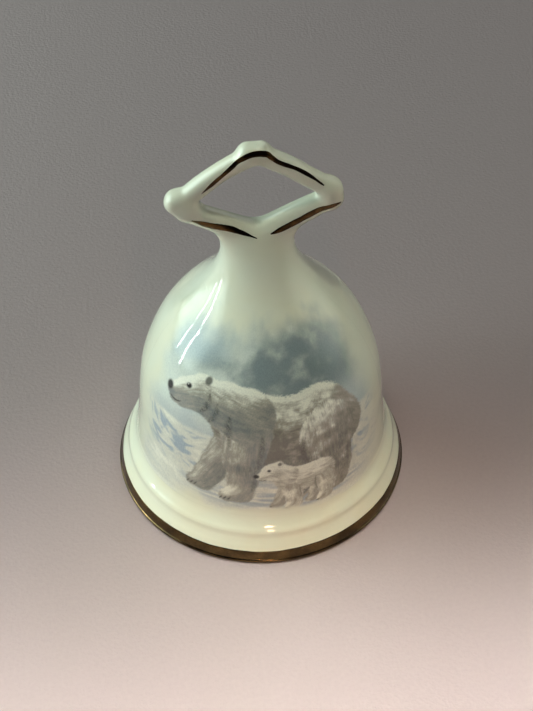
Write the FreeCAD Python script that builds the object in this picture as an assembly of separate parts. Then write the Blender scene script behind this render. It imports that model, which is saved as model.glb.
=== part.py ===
import FreeCAD, Part
import math
import os

# A bone china table bell: a slip-cast shell with a luted loop handle, fired gilding and a hung clapper.
# Millimetres. The origin is the centre of the foot on the table, +Z is up, and the handle lies in the XZ plane.

# Driving dimensions
rim_radius = 41.0           # widest point of the gilt rim
neck_radius = 9.4           # narrowest point, where the handle is luted to the shell
neck_height = 80.5
wall = 2.6                  # slip-cast wall
film = 0.12                 # fired gold and enamel layers
handle_depth = 5.0          # handle, front to back
handle_rounding = 1.7
wire_radius = 0.6           # staple and clapper wire
link_radius = 0.5           # wire of the hanger link
link_clearance = 0.1        # between linked wires
bead_radius = 6.5
bead_height = 20.0          # centre of the clapper bead above the table
bead_bore_clearance = 0.05

# Shell
foot_inner_radius = rim_radius - 3.6
foot_outer_radius = rim_radius - 1.2
foot_round_middle = (rim_radius - 0.7, 0.15)
gilt_bottom = 0.5
gilt_bottom_radius = rim_radius - 0.45
gilt_widest = 1.9           # height of the widest point of the rim
gilt_top = 3.7
gilt_top_radius = rim_radius - 0.6
lower_cove_middle = (rim_radius - 2.15, 5.9)
crease_height = 8.4         # riser between the two mouldings of the skirt
riser_height = 0.8
crease_radius = rim_radius - 3.2
upper_cove_middle = (rim_radius - 4.7, 11.0)
upper_cove_lean = (-1, 1)   # direction of the section where the upper cove leaves the riser
body_lean = (-0.1, 1)       # and where it meets the body
body_foot_height = 14.7     # where the skirt runs into the body
body_profile = [            # radius and height, from the skirt to the neck
    (rim_radius - 5.95, body_foot_height),
    (rim_radius - 7.1, 25.0),
    (rim_radius - 8.4, 37.0),
    (rim_radius - 11.5, 47.5),
    (rim_radius - 17.2, 57.8),
    (rim_radius - 24.25, 66.0),
    (neck_radius + 1.7, 74.2),
    (neck_radius, neck_height),
]
cavity_spans = 9            # points of the inner curve, each one wall inside the outer curve
cavity_top_share = 0.8      # share of the body curve that the cavity follows
pocket_radius = 6.0
pocket_floor = 71.0
pocket_top = 77.0
roof_radius = 8.6
roof_height = 70.6

# Clapper train
eye_height = 67.6           # axis of the staple's bar
eye_half_span = 3.0         # staple leg to the bell's axis
eye_bend = 1.3
leg_top = 75.6
link_half_width = 2.3       # to the centre of the wire
link_corner = 1.5
link_inner_height = 4.0
loop_radius = 2.2           # clapper wire's loop, to the centre of the wire
head_radius = 1.6
head_thickness = 0.9
head_rounding = 0.36
collar_radius = 1.3
collar_length = 2.6
collar_rounding = 0.3
bead_play = 0.15

# Handle outline, seen from the front: x and z
handle_outline = [
    (-18.4, 89.3), (-20.6, 90.7), (-22.2, 92.9), (-22.8, 95.4), (-22.1, 97.6), (-20.2, 98.7),
    (-17.9, 99.0), (-15.9, 100.5), (-11.0, 104.6), (-6.2, 107.7), (-4.3, 109.4), (-2.3, 110.7),
    (0.4, 111.1), (3.0, 110.5), (4.4, 108.9), (6.2, 107.3), (10.6, 104.5), (15.4, 99.9),
    (17.2, 98.7), (19.4, 98.2), (21.1, 97.0), (21.6, 94.9), (21.6, 92.4), (20.0, 90.7),
    (16.8, 90.0), (13.0, 87.8), (8.5, 84.5), (0.0, 82.6), (-8.5, 84.5), (-13.0, 87.3),
]
handle_hole = [
    (-14.4, 95.0), (-8.8, 100.0), (-2.6, 103.8), (1.6, 104.0), (8.2, 101.1), (14.5, 95.2),
    (7.1, 91.4), (2.4, 88.6), (-0.4, 87.5), (-4.1, 88.9), (-9.0, 90.9),
]
hole_corner = 0.7
stem_sections = [           # height, half width, half depth
    (neck_height, neck_radius, neck_radius),
    (neck_height + 2.2, neck_radius + 0.25, neck_radius - 1.7),
    (neck_height + 4.6, neck_radius + 1.7, neck_radius - 4.6),
    (neck_height + 6.4, neck_radius + 3.9, handle_depth / 2),
]

# Gilded lines on the handle's faces: x and z along each brush stroke
gilt_width = 1.0
gilt_strokes = {
    "arch": [(-13.2, 97.7), (-8.7, 101.7), (-3.8, 105.2), (0.6, 106.4), (4.6, 105.2), (9.4, 102.3), (15.6, 97.2)],
    "left": [(-17.0, 90.3), (-13.6, 89.3), (-8.9, 88.0)],
    "right": [(19.4, 91.9), (15.6, 90.8), (9.4, 88.3)],
}

# Fired picture on the front of the shell
print_bottom = 15.5
print_top = 66.0
print_middle = -97.0        # degrees about Z, a little to the left of the front
print_half_angle = 72.0     # each side of its middle

height_tolerance = 0.001

axis_z = FreeCAD.Vector(0, 0, 1)
origin = FreeCAD.Vector(0, 0, 0)


def flat(radius, height):
    """A point of the half section, in the XZ plane."""
    return FreeCAD.Vector(radius, 0, height)


def line(start, end):
    return Part.LineSegment(start, end).toShape()


def arc(start, middle, end):
    return Part.Arc(start, middle, end).toShape()


def spline(points, start_tangent=None, end_tangent=None):
    curve = Part.BSplineCurve()
    if start_tangent is None:
        curve.interpolate(points)
    else:
        curve.interpolate(Points=points, InitialTangent=start_tangent, FinalTangent=end_tangent)
    return curve


def revolved(edges, start_angle=0.0, sweep=360.0):
    section = Part.Face(Part.Wire(edges))
    section.rotate(origin, axis_z, start_angle)
    return section.revolve(origin, axis_z, sweep)


def save(shape, node):
    shape.exportStep("parts/" + node + ".step")


def body_curve():
    points = [flat(radius, height) for radius, height in body_profile]
    return spline(points, flat(*body_lean), axis_z)


def place_at_height(curve, height):
    """Parameter of the point of a rising curve that is at the given height."""
    low, high = curve.FirstParameter, curve.LastParameter
    while curve.value(high).z - curve.value(low).z > height_tolerance:
        middle = (low + high) / 2
        if curve.value(middle).z < height:
            low = middle
        else:
            high = middle
    return low


def cavity_points(curve):
    """Points one wall inside the body, from the skirt up to the roof of the cavity."""
    first, last = curve.FirstParameter, curve.LastParameter
    points = []
    for step in range(cavity_spans):
        place = first + (last - first) * cavity_top_share * step / (cavity_spans - 1)
        along = curve.tangent(place)[0]
        inward = FreeCAD.Vector(-along.z, 0, along.x)
        points.append(curve.value(place) + inward * wall)
    return points


def gilt_arc(inset):
    """Outside of the rounded rim, where the gold lies, moved in by inset."""
    return arc(
        flat(gilt_bottom_radius - inset, gilt_bottom),
        flat(rim_radius - inset, gilt_widest),
        flat(gilt_top_radius - inset, gilt_top),
    )


def bell_shell():
    curve = body_curve()
    inner = cavity_points(curve)
    bottom_inner = flat(foot_inner_radius, 0)
    bottom_outer = flat(foot_outer_radius, 0)
    gold_low = flat(gilt_bottom_radius - film, gilt_bottom)
    gold_low_lip = flat(gilt_bottom_radius, gilt_bottom)
    gold_high = flat(gilt_top_radius - film, gilt_top)
    gold_high_lip = flat(gilt_top_radius, gilt_top)
    crease_low = flat(crease_radius, crease_height)
    crease_high = flat(crease_radius, crease_height + riser_height)
    body_foot = curve.StartPoint
    edges = [
        line(bottom_inner, bottom_outer),
        arc(bottom_outer, flat(*foot_round_middle), gold_low_lip),
        line(gold_low_lip, gold_low),
        gilt_arc(film),
        line(gold_high, gold_high_lip),
        arc(gold_high_lip, flat(*lower_cove_middle), crease_low),
        line(crease_low, crease_high),
        spline([crease_high, flat(*upper_cove_middle), body_foot], flat(*upper_cove_lean), flat(*body_lean)).toShape(),
        curve.toShape(),
        line(curve.EndPoint, flat(0, neck_height)),
        line(flat(0, neck_height), flat(0, pocket_top)),
        line(flat(0, pocket_top), flat(pocket_radius, pocket_top)),
        line(flat(pocket_radius, pocket_top), flat(pocket_radius, roof_height)),
        line(flat(pocket_radius, roof_height), flat(roof_radius, roof_height)),
        line(flat(roof_radius, roof_height), inner[-1]),
        spline(inner).toShape(),
        line(inner[0], bottom_inner),
    ]
    return revolved(edges)


def rim_gilt():
    edges = [
        gilt_arc(0),
        line(flat(gilt_top_radius, gilt_top), flat(gilt_top_radius - film, gilt_top)),
        gilt_arc(film),
        line(flat(gilt_bottom_radius - film, gilt_bottom), flat(gilt_bottom_radius, gilt_bottom)),
    ]
    return revolved(edges)


def picture_transfer():
    """Enamel film on the front of the body, between two heights."""
    whole = body_curve()
    low = place_at_height(whole, print_bottom)
    high = place_at_height(whole, print_top)
    outward = flat(film, 0)
    inner = whole.toShape(low, high)
    outer = inner.copy()
    outer.translate(outward)
    edges = [
        inner,
        line(whole.value(high), whole.value(high) + outward),
        outer,
        line(whole.value(low) + outward, whole.value(low)),
    ]
    return revolved(edges, print_middle - print_half_angle, 2 * print_half_angle)


def closed_curve(points):
    curve = Part.BSplineCurve()
    curve.interpolate(Points=[flat(x, z) for x, z in points], PeriodicFlag=True)
    return Part.Wire(curve.toShape())


def rounded_polygon(points, radius):
    """A closed polygon in the XZ plane whose corners are rounded with tangent arcs."""
    corners = [flat(x, z) for x, z in points]
    edges = []
    starts = []
    ends = []
    middles = []
    for index, corner in enumerate(corners):
        before = (corners[index - 1] - corner).normalize()
        after = (corners[(index + 1) % len(corners)] - corner).normalize()
        half = before.getAngle(after) / 2
        reach = radius / math.tan(half)
        inward = (before + after).normalize()
        starts.append(corner + before * reach)
        ends.append(corner + after * reach)
        middles.append(corner + inward * (radius / math.sin(half) - radius))
    for index in range(len(corners)):
        edges.append(arc(starts[index], middles[index], ends[index]))
        edges.append(line(ends[index], starts[(index + 1) % len(corners)]))
    return Part.Wire(edges)


def through_plate(wire):
    """The area inside a closed wire, as deep as the handle."""
    plate = Part.Face(wire).extrude(FreeCAD.Vector(0, handle_depth, 0))
    plate.translate(FreeCAD.Vector(0, -handle_depth / 2, 0))
    return plate


def stem():
    wires = []
    for height, half_width, half_depth in stem_sections:
        if half_width == half_depth:
            curve = Part.Circle(flat(0, height), axis_z, half_width)
        else:
            curve = Part.Ellipse(flat(0, height), half_width, half_depth)
        wires.append(Part.Wire(curve.toShape()))
    return Part.makeLoft(wires, True)


def loop_handle():
    plate = through_plate(closed_curve(handle_outline))
    plate = plate.makeFillet(handle_rounding, [e for e in plate.Edges if e.Length > handle_depth * 2])
    hole = through_plate(rounded_polygon(handle_hole, hole_corner))
    return plate.cut(hole).fuse(stem()).removeSplitter()


def gilt_stroke(points, front):
    """A brush stroke of even width, lying on the front or back face of the handle."""
    middle = [flat(x, z) for x, z in points]
    upper = []
    lower = []
    for index, point in enumerate(middle):
        ahead = middle[min(index + 1, len(middle) - 1)]
        behind = middle[max(index - 1, 0)]
        along = (ahead - behind).normalize()
        across = FreeCAD.Vector(-along.z, 0, along.x) * (gilt_width / 2)
        upper.append(point + across)
        lower.append(point - across)
    edges = [
        spline(upper).toShape(),
        line(upper[-1], lower[-1]),
        spline(list(reversed(lower))).toShape(),
        line(lower[0], upper[0]),
    ]
    side = -1 if front else 1
    stroke = Part.Face(Part.Wire(edges)).extrude(FreeCAD.Vector(0, side * film, 0))
    stroke.translate(FreeCAD.Vector(0, side * handle_depth / 2, 0))
    return stroke


def tube(path_edges, radius):
    """Round wire of the given radius along a path of straight runs and arcs."""
    path = Part.Wire(path_edges)
    first = path.OrderedEdges[0]
    start = first.valueAt(first.FirstParameter)
    section = Part.Wire(Part.Circle(start, first.tangentAt(first.FirstParameter), radius).toShape())
    return path.makePipeShell([section], True, True)


def crown_eye():
    """Staple: two legs cemented in the crown, joined by a straight bar along X."""
    left, right = -eye_half_span, eye_half_span
    corner = eye_bend * (1 - math.sqrt(0.5))
    path = [
        line(flat(left, leg_top), flat(left, eye_height + eye_bend)),
        arc(flat(left, eye_height + eye_bend), flat(left + corner, eye_height + corner),
            flat(left + eye_bend, eye_height)),
        line(flat(left + eye_bend, eye_height), flat(right - eye_bend, eye_height)),
        arc(flat(right - eye_bend, eye_height), flat(right - corner, eye_height + corner),
            flat(right, eye_height + eye_bend)),
        line(flat(right, eye_height + eye_bend), flat(right, leg_top)),
    ]
    return tube(path, wire_radius)


def crown_plug(eye):
    """Cement that fills the pocket in the crown and holds the staple's legs."""
    plug = Part.makeCylinder(pocket_radius, pocket_top - pocket_floor, flat(0, pocket_floor), axis_z)
    return plug.cut(eye)


def hanger_link():
    """Closed wire link in the YZ plane, hung on the staple's bar."""
    top = eye_height + wire_radius + link_clearance + link_radius
    bottom = top - link_inner_height - 2 * link_radius
    inset = link_corner * (1 - math.sqrt(0.5))

    def at(y, z):
        return FreeCAD.Vector(0, y, z)

    half = link_half_width
    edges = []
    for side in (1, -1):
        level_from, level_to = (bottom, top) if side > 0 else (top, bottom)
        edges += [
            line(at(-side * (half - link_corner), level_from), at(side * (half - link_corner), level_from)),
            arc(at(side * (half - link_corner), level_from), at(side * (half - inset), level_from + side * inset),
                at(side * half, level_from + side * link_corner)),
            line(at(side * half, level_from + side * link_corner), at(side * half, level_to - side * link_corner)),
            arc(at(side * half, level_to - side * link_corner), at(side * (half - inset), level_to - side * inset),
                at(side * (half - link_corner), level_to)),
        ]
    return tube(edges, link_radius)


def swing_height():
    """Axis of the link's lower bar, which the clapper swings on."""
    return eye_height + wire_radius + link_clearance - link_inner_height - link_radius


def round_edges(cylinder):
    return [edge for edge in cylinder.Edges if edge.isClosed()]


def clapper_wire():
    """Wire with a closed loop at the top and a spread head under the bead."""
    loop_centre = swing_height() + link_radius + link_clearance + wire_radius - loop_radius
    loop = Part.makeTorus(loop_radius, wire_radius, flat(0, loop_centre), FreeCAD.Vector(0, 1, 0))
    head_top = bead_height - bead_radius - bead_play
    shank_top = loop_centre - loop_radius
    shank = Part.makeCylinder(wire_radius, shank_top - head_top, flat(0, head_top), axis_z)
    head = Part.makeCylinder(head_radius, head_thickness, flat(0, head_top - head_thickness), axis_z)
    head = head.makeFillet(head_rounding, round_edges(head))
    return loop.fuse([shank, head]).removeSplitter()


def clapper_bead():
    bead = Part.makeSphere(bead_radius, flat(0, bead_height))
    bore_radius = wire_radius + bead_bore_clearance
    bore = Part.makeCylinder(bore_radius, 3 * bead_radius, flat(0, bead_height - 1.5 * bead_radius), axis_z)
    return bead.cut(bore)


def crimp_collar():
    """Short tube crimped on the wire above the bead."""
    base = flat(0, bead_height + bead_radius + bead_play)
    outside = Part.makeCylinder(collar_radius, collar_length, base, axis_z)
    outside = outside.makeFillet(collar_rounding, round_edges(outside))
    return outside.cut(Part.makeCylinder(wire_radius, collar_length, base, axis_z))


def main():
    os.makedirs("parts", exist_ok=True)
    save(bell_shell(), "bell_shell")
    save(rim_gilt(), "rim_gilt")
    save(picture_transfer(), "picture_transfer")
    save(loop_handle(), "loop_handle")
    for name, points in gilt_strokes.items():
        save(gilt_stroke(points, True), "gilt_" + name + "_front")
        save(gilt_stroke(points, False), "gilt_" + name + "_back")
    eye = crown_eye()
    save(crown_plug(eye), "crown_plug")
    save(eye, "crown_eye")
    save(hanger_link(), "hanger_link")
    save(clapper_wire(), "clapper_wire")
    save(crimp_collar(), "crimp_collar")
    save(clapper_bead(), "clapper_bead")


main()
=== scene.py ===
import math

import bmesh
import bpy
import numpy as np
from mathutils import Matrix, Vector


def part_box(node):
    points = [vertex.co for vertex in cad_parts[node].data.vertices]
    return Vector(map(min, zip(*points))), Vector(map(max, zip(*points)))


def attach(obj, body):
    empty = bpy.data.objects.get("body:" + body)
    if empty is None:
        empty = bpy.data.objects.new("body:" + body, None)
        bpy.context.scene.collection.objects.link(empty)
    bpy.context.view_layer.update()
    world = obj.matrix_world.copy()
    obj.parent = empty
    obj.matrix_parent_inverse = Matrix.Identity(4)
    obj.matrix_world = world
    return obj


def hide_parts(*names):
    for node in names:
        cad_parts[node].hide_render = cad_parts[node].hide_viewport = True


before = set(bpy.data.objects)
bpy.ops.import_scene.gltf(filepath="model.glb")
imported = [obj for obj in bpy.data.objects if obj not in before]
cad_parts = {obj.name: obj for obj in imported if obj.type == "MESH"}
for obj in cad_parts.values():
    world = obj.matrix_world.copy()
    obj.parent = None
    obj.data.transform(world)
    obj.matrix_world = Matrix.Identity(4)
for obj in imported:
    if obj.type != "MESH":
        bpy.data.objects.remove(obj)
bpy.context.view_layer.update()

import openvdb
from mathutils import Vector

MM = 0.001
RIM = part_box("rim_gilt")[1].x / MM  # rim radius, mm
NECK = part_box("bell_shell")[1].z / MM  # height of the seat of the handle, mm
SPAN_SAMPLES = 24  # points on each span of a curve before they are spaced evenly
SEGMENTS = 384  # points round the bell

# ---- helpers


def run_lengths(line):
    """How far along a line each of its points lies."""
    return np.concatenate([[0], np.cumsum(np.linalg.norm(np.diff(line, axis=0), axis=1))])


def read_along(line, along, places):
    """The line's points at the given distances along it."""
    return np.stack([np.interp(places, along, line[:, k]) for k in range(line.shape[1])], axis=1)


def knot_mix(first, second, low, high, t):
    """The straight run from first, at knot low, to second, at knot high, read at t."""
    return (high - t) / (high - low) * first + (t - low) / (high - low) * second


def smooth_curve(points, spacing):
    """Points along a centripetal Catmull-Rom curve through the given ones, about spacing apart."""
    given = np.array(points, float)
    given = np.vstack([2 * given[0] - given[1], given, 2 * given[-1] - given[-2]])
    dense = []
    for span in zip(given, given[1:], given[2:], given[3:]):
        steps = [max(np.linalg.norm(b - a), 1e-9) ** 0.5 for a, b in zip(span, span[1:])]
        k0, k1, k2, k3 = np.cumsum([0] + steps)
        t = np.linspace(k1, k2, SPAN_SAMPLES, endpoint=False)[:, None]
        first = knot_mix(span[0], span[1], k0, k1, t)
        second = knot_mix(span[1], span[2], k1, k2, t)
        third = knot_mix(span[2], span[3], k2, k3, t)
        early = knot_mix(first, second, k0, k2, t)
        late = knot_mix(second, third, k1, k3, t)
        dense.append(knot_mix(early, late, k1, k2, t))
    dense = np.vstack(dense + [given[-2:-1]])
    along = run_lengths(dense)
    count = max(2, int(round(along[-1] / spacing)) + 1)
    return read_along(dense, along, np.linspace(0, along[-1], count))


def softened(line, reach, rounds=2):
    """An open line of evenly spaced points with its corners rounded, and its ends kept."""
    weights = np.exp(-0.5 * (np.arange(-3 * reach, 3 * reach + 1) / reach) ** 2)
    weights /= weights.sum()
    for _ in range(rounds):
        before = 2 * line[0] - line[3 * reach:0:-1]
        after = 2 * line[-1] - line[-2:-3 * reach - 2:-1]
        padded = np.vstack([before, line, after])
        line = np.stack([np.convolve(padded[:, k], weights, "valid") for k in range(line.shape[1])], axis=1)
    return line


def outward(line):
    """Unit directions out of the wall, square to a profile that goes up its outside."""
    slope = np.gradient(line, axis=0)
    slope /= np.linalg.norm(slope, axis=1)[:, None]
    return np.stack([slope[:, 1], -slope[:, 0]], axis=1)


def eased(value, low, high):
    """0 below low, 1 above high, and a smooth step between."""
    share = np.clip((value - low) / (high - low), 0, 1)
    return share * share * (3 - 2 * share)


def mesh_piece(name, vertices, faces):
    """A smooth-shaded mesh object from vertices in mm."""
    mesh = bpy.data.meshes.new(name)
    mesh.from_pydata((np.asarray(vertices) * MM).tolist(), [], [list(map(int, f)) for f in faces])
    mesh.validate()
    mesh.polygons.foreach_set("use_smooth", [True] * len(mesh.polygons))
    mesh.update()
    piece = bpy.data.objects.new(name, mesh)
    bpy.context.scene.collection.objects.link(piece)
    return piece


def grid_faces(rows, columns, wrap_rows=False, wrap_columns=False):
    """The four-cornered faces of a grid of vertices, closed round where it wraps."""
    row = np.arange(rows if wrap_rows else rows - 1)[:, None]
    column = np.arange(columns if wrap_columns else columns - 1)[None, :]
    here, below = row * columns, (row + 1) % rows * columns
    beside = (column + 1) % columns
    corners = [here + column, here + beside, below + beside, below + column]
    return np.stack([c + 0 * row + 0 * column for c in corners], axis=-1).reshape(-1, 4)


def round_points(profile, angle, lift=0.0):
    """Vertices of a profile of (radius, height) at angles about Z, as far out of round as the shell is."""
    radius = profile[:, 0:1] + out_of_round(profile, angle) + lift
    height = np.repeat(profile[:, 1:2], len(angle), axis=1)
    return np.stack([radius * np.cos(angle), radius * np.sin(angle), height], axis=-1).reshape(-1, 3)


def turned(profile, closed=False):
    """Vertices and faces of a profile turned about Z; closed joins its last point to its first."""
    angle = np.arange(SEGMENTS) * 2 * math.pi / SEGMENTS
    return round_points(profile, angle), grid_faces(len(profile), SEGMENTS, closed, True)


def recalculate(piece):
    """Turn all faces of a closed piece outwards."""
    form = bmesh.new()
    form.from_mesh(piece.data)
    bmesh.ops.recalc_face_normals(form, faces=form.faces)
    form.to_mesh(piece.data)
    form.free()


def finish_piece(piece, material, node):
    """Give a piece of the bell's body its material, and put it in the place of its CAD node."""
    piece.data.materials.clear()
    piece.data.materials.append(material)
    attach(piece, "bell")
    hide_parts(node)


# ---- materials


class Nodes:
    """Short names for the nodes that the looks and the lights here are made of."""

    def __init__(self, tree):
        self.tree = tree

    def join(self, value, socket):
        """Link a node's output to a socket, or set the socket to a constant."""
        if isinstance(value, bpy.types.NodeSocket):
            self.tree.links.new(value, socket)
        else:
            socket.default_value = value

    def add(self, kind, output, inputs=(), **settings):
        """An output of a new node; inputs are pairs of a socket and what is joined to it."""
        node = self.tree.nodes.new("ShaderNode" + kind)
        for setting, value in settings.items():
            setattr(node, setting, value)
        for socket, value in inputs:
            self.join(value, node.inputs[socket])
        return node.outputs[output]

    def maths(self, operation, *values):
        return self.add("Math", 0, enumerate(values), operation=operation)

    def between(self, value, low, high, start=0.0, end=1.0):
        """A value that goes smoothly from start to end while the given one goes from low to high."""
        inputs = [("Value", value), ("From Min", low), ("From Max", high), ("To Min", start), ("To Max", end)]
        return self.add("MapRange", "Result", inputs, interpolation_type="SMOOTHSTEP")


class Shader(Nodes):
    """The material of a surface."""

    def __init__(self, name, **values):
        self.material = bpy.data.materials.new(name)
        self.material.use_nodes = True
        super().__init__(self.material.node_tree)
        self.surface = self.tree.nodes["Principled BSDF"]
        self.place = self.add("TexCoord", "Object")
        for socket, value in values.items():
            self.set(socket.replace("_", " "), value)

    def set(self, socket, value):
        self.join(value, self.surface.inputs[socket])

    def stretched(self, x, y, z):
        """The object's coordinates, in which noise is finer along an axis by its factor."""
        return self.add("Mapping", "Vector", [("Scale", (x, y, z)), ("Vector", self.place)])

    def noise(self, scale, detail=3.0, roughness=0.55, place=None):
        """Noise with about scale lumps to a metre."""
        inputs = [("Scale", scale), ("Detail", detail), ("Roughness", roughness)]
        return self.add("TexNoise", "Fac", inputs + [("Vector", place or self.place)])

    def mix(self, factor, first, second, blend="MIX"):
        inputs = [("Factor", factor), ("A", first), ("B", second)]
        return self.add("Mix", "Result", inputs, data_type="RGBA", blend_type=blend)

    def attribute(self, name, output):
        return self.add("Attribute", output, attribute_name=name)

    def bump(self, height, distance):
        """Bumps as high as distance, in metres."""
        inputs = [("Distance", distance), ("Strength", 1.0), ("Height", height)]
        self.set("Normal", self.add("Bump", "Normal", inputs))


GLAZE_CREAM = (0.765, 0.775, 0.645, 1)
GLAZE_WARM = (0.77, 0.755, 0.60, 1)
GLOSS = {"Specular_IOR_Level": 0.5, "Coat_Weight": 0.35, "Coat_Roughness": 0.03}


def glaze_colour(shader):
    """Warm cream with faint clouds where the glaze lies thicker."""
    return shader.mix(shader.between(shader.noise(55.0), 0.35, 0.7), GLAZE_CREAM, GLAZE_WARM)


def glaze_surface(shader):
    """The even, slightly rippled gloss of a fired glaze."""
    shader.set("Roughness", shader.between(shader.noise(160.0), 0.3, 0.75, 0.035, 0.08))
    shader.bump(shader.noise(240.0, 2.0), 0.00006)


def bone_china():
    shader = Shader("bone_china", **GLOSS)
    shader.set("Base Color", glaze_colour(shader))
    glaze_surface(shader)
    return shader.material


def enamel_print():
    """The painted colours over the glaze, with the print's fine grain, under the same gloss."""
    shader = Shader("enamel_print", **GLOSS)
    grain = shader.noise(3200.0, 4.0, 0.65, shader.stretched(1, 1, 0.45))
    tint = shader.mix(shader.between(grain, 0.3, 0.7), (0.90, 0.90, 0.91, 1), (1.08, 1.07, 1.05, 1))
    paint = shader.mix(1.0, shader.attribute("paint", "Color"), tint, "MULTIPLY")
    shader.set("Base Color", shader.mix(shader.attribute("print_cover", "Fac"), glaze_colour(shader), paint))
    glaze_surface(shader)
    return shader.material


# Bright, dull and tarnished gold, on the rim and on the handle's lines, all three darkened far below real
# gold as a painted dark reflection of the room
RIM_SHADED_TONES = [(0.19, 0.128, 0.058, 1), (0.12, 0.08, 0.037, 1), (0.064, 0.044, 0.024, 1)]
LINE_SHADED_TONES = [(0.13, 0.076, 0.027, 1), (0.062, 0.035, 0.014, 1), (0.02, 0.013, 0.008, 1)]


def fired_gold(name, bright, dull, tarnish_and_shade, size):
    """Brushed-on gold with streaks along the brush and random tarnished patches, its colours darkened as a
    painted dark reflection.
    """
    shader = Shader(name, Metallic=1.0)
    streaks = shader.noise(900.0, 3.0, 0.6, shader.stretched(*size))
    tarnish = shader.between(shader.noise(180.0, 4.0, 0.6), 0.38, 0.66)
    gold = shader.mix(shader.between(streaks, 0.3, 0.7), bright, dull)
    shader.set("Base Color", shader.mix(tarnish, gold, tarnish_and_shade))
    shader.set("Roughness", shader.between(streaks, 0.3, 0.75, 0.09, 0.24))
    shader.bump(streaks, 0.00003)
    return shader.material


def brass_wire():
    shader = Shader("brass_wire", Metallic=1.0)
    patina = shader.between(shader.noise(500.0, 4.0), 0.4, 0.7)
    shader.set("Base Color", shader.mix(patina, (0.62, 0.44, 0.19, 1), (0.33, 0.22, 0.10, 1)))
    shader.set("Roughness", shader.between(shader.noise(900.0), 0.3, 0.7, 0.25, 0.45))
    shader.bump(shader.noise(2500.0), 0.00002)
    return shader.material


def cement():
    shader = Shader("cement", Roughness=0.9)
    grains = shader.noise(1400.0, 5.0, 0.7)
    shader.set("Base Color", shader.mix(grains, (0.42, 0.40, 0.34, 1), (0.62, 0.59, 0.52, 1)))
    shader.bump(grains, 0.0003)
    return shader.material


def bead_glaze():
    shader = Shader("bead_glaze", Specular_IOR_Level=0.5, Coat_Weight=0.3, Coat_Roughness=0.04)
    shader.set("Base Color", shader.mix(shader.noise(300.0), (0.82, 0.80, 0.72, 1), (0.78, 0.75, 0.66, 1)))
    shader.set("Roughness", shader.between(shader.noise(500.0), 0.3, 0.7, 0.06, 0.14))
    shader.bump(shader.noise(700.0, 2.0), 0.00005)
    return shader.material


# ---- shell

FOOT_INNER = RIM - 3.6
FOOT_RING = [(RIM - 0.8, 0.0), (RIM - 0.25, 0.2), (RIM - 0.03, 0.7), (RIM - 0.1, 1.2), (RIM - 0.4, 1.4)]
SKIRT = [(RIM - 0.4, 1.4), (RIM - 0.42, 1.7), (RIM - 0.68, 2.7), (RIM - 1.15, 4.0)]
LOWER_COVE = [(RIM - 1.15, 4.0), (RIM - 1.55, 4.9), (RIM - 2.35, 6.4), (RIM - 2.95, 7.7)]
RISER = [(RIM - 3.1, 8.3), (RIM - 3.2, 9.2)]
UPPER_COVE = [(RIM - 3.45, 9.7), (RIM - 4.3, 10.8), (RIM - 5.2, 12.4), (RIM - 5.8, 14.2)]
BODY = [(RIM - 5.95, 14.7), (RIM - 6.4, 18.8), (RIM - 7.1, 25.0), (RIM - 7.8, 33.0), (RIM - 9.1, 40.5),
        (RIM - 11.5, 47.5), (RIM - 14.5, 53.7), (RIM - 18.8, 59.8), (RIM - 22.45, 63.9), (RIM - 25.95, 68.0),
        (RIM - 28.8, 72.1), (RIM - 30.75, 76.2), (RIM - 31.5, 79.0), (RIM - 31.6, NECK)]
WALL = 2.6
LEAN = -0.8  # mm to the right that the handle stands off the axis
FLATTENING = 0.373  # share of its depth that the neck loses at the seat of the handle
FLATTENING_FADE = 7.0  # mm down the neck over which that falls to about a third
CAVITY_TOP = 70.6  # height of the cavity's roof
CEMENT_FACE = CAVITY_TOP + 0.4  # height of the shell's closed end over the cement
CROWN_FACE = NECK - 0.02  # height of the shell's closed end under the handle
OVAL, LOBED, RIPPLED = 0.06, 0.03, 0.012  # mm that the shell is out of round, in 2, 3 and 7 waves
SKIRT_TOP = 15.0  # height over which the wall is even
SKIRT_ROWS, BODY_ROWS = 0.2, 0.7  # mm between rows below and above that
OUTLINE_STEP, FOOT_STEP = 0.12, 0.06  # mm between points of the outline that the rows are taken from


def outer_profile():
    """Outside of the shell from the foot to the neck, as (radius, height)."""
    above = [smooth_curve(part, OUTLINE_STEP)[1:] for part in (SKIRT, LOWER_COVE, RISER, UPPER_COVE, BODY)]
    return softened(np.vstack([smooth_curve(FOOT_RING, FOOT_STEP)] + above), 1)


def leaning(vertices):
    """The neck grows flatter towards the handle, and both were luted a little to the left of the axis."""
    moved = np.array(vertices, float)
    height = moved[:, 2] - NECK
    flatter = FLATTENING * np.exp(np.minimum(height, FLATTENING_FADE) / FLATTENING_FADE)
    moved[:, 1] *= 1 - flatter * (1 - eased(height, 0.0, 6.0))
    moved[:, 0] += LEAN * eased(height, -14.0, 3.0)
    return moved


def thinned(line):
    """The same line with its points further apart, and furthest above the skirt."""
    along = run_lengths(line)
    turn = np.interp(SKIRT_TOP, line[:, 1], along)
    above = np.linspace(turn, along[-1], int((along[-1] - turn) / BODY_ROWS))
    return read_along(line, along, np.concatenate([np.arange(0, turn, SKIRT_ROWS), above]))


def out_of_round(profile, angle):
    """Slip-cast ware is never quite round: a few hundredths of a millimetre, none at the neck."""
    height = profile[:, 1:2]
    fade = np.clip((NECK - 8 - height) / 20, 0, 1)
    lobes = LOBED * np.sin(3 * angle + height / 9)
    return fade * (OVAL * np.sin(2 * angle + 0.7) + lobes + RIPPLED * np.sin(7 * angle))


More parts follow.
